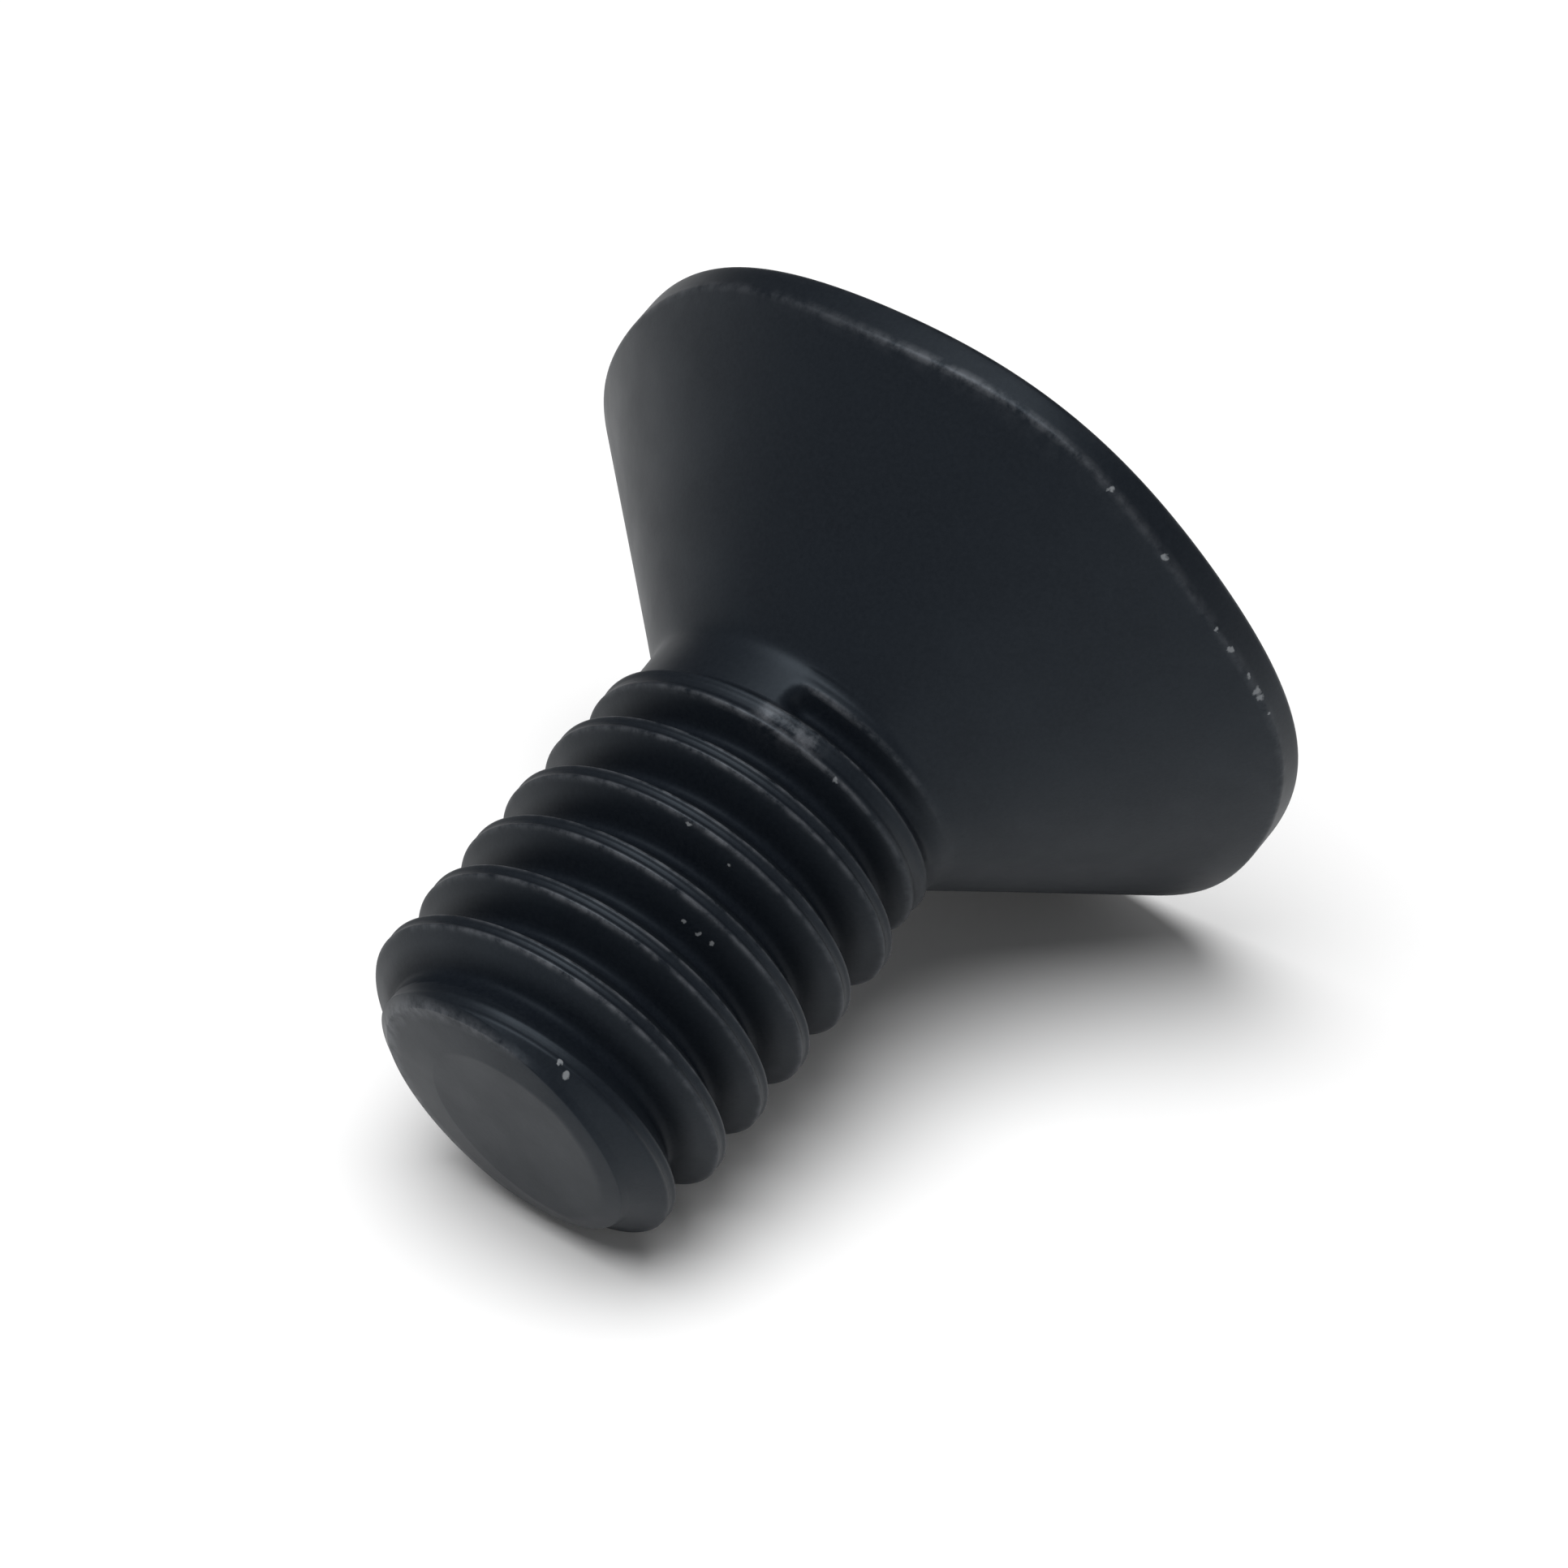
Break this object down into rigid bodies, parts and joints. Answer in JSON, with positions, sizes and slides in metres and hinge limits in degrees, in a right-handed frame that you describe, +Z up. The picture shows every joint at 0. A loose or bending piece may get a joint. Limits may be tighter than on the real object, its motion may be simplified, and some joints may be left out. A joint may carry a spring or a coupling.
{
  "type": "pin hexalobular security screw",
  "caption": "Flat countersunk machine screw with a hexalobular security recess round a centre pin, full thread up to the head and a black finish.",
  "frame": {"origin": "centre of the footprint of the screw as it lies on its side, on the floor", "axes": "+X from the tip toward the head, seen from above; +Z up; the screw's axis lies in the XZ plane and rises toward the head by about 17 degrees"},
  "size_m": [0.0092, 0.0082, 0.008],
  "materials": {
    "black_steel": "matt black oxide on steel"
  },
  "bodies": {
    "root": {"screw": "black_steel"}
  },
  "joints": []
}
